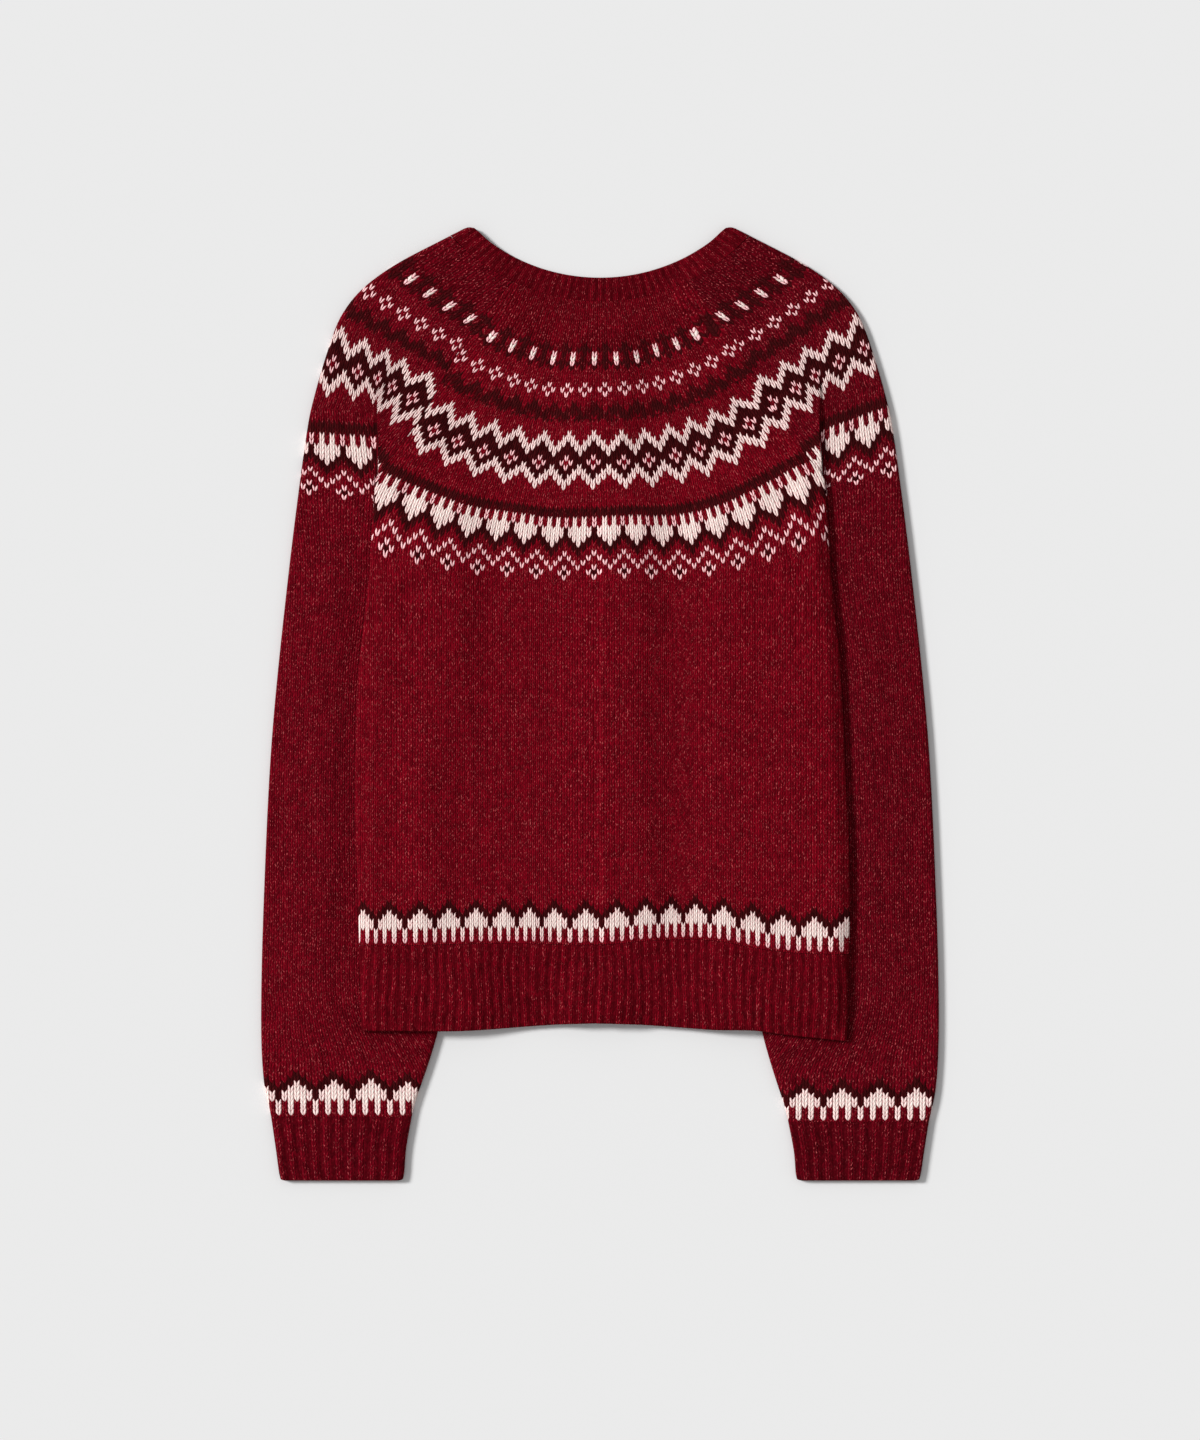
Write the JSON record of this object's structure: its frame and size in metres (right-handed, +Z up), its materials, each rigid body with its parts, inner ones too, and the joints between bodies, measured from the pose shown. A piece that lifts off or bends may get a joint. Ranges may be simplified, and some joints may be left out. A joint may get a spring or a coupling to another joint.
{
  "type": "fair isle cardigan",
  "caption": "Round-yoke fair isle cardigan, buttoned and laid flat face down, with ribbed neckband, hem, cuffs and front bands.",
  "frame": {"origin": "on the surface it lies on, under the middle of its length and width", "axes": "+Y towards the neck, +Z up out of the surface through the front and then the back, +X towards the wearer's right"},
  "size_m": [0.5078, 0.714, 0.0114],
  "materials": {
    "wine_knit": "heathered wool stocking stitch, wine red, with ivory and dark brown stranded bands",
    "wine_rib": "heathered wool one-by-one rib, wine red",
    "horn_button": "smooth dark brown horn-like button"
  },
  "bodies": {
    "root": {"back_panel": "wine_knit", "front_left": "wine_knit", "front_right": "wine_knit", "sleeve_left": "wine_knit", "sleeve_right": "wine_knit", "neckband": "wine_rib", "hem_rib_back": "wine_rib", "hem_rib_front_left": "wine_rib", "hem_rib_front_right": "wine_rib", "cuff_left": "wine_rib", "cuff_right": "wine_rib", "button_band": "wine_rib", "buttonhole_band": "wine_rib", "button_1": "horn_button", "button_2": "horn_button", "button_3": "horn_button", "button_4": "horn_button", "button_5": "horn_button", "button_6": "horn_button", "button_7": "horn_button"}
  },
  "joints": []
}
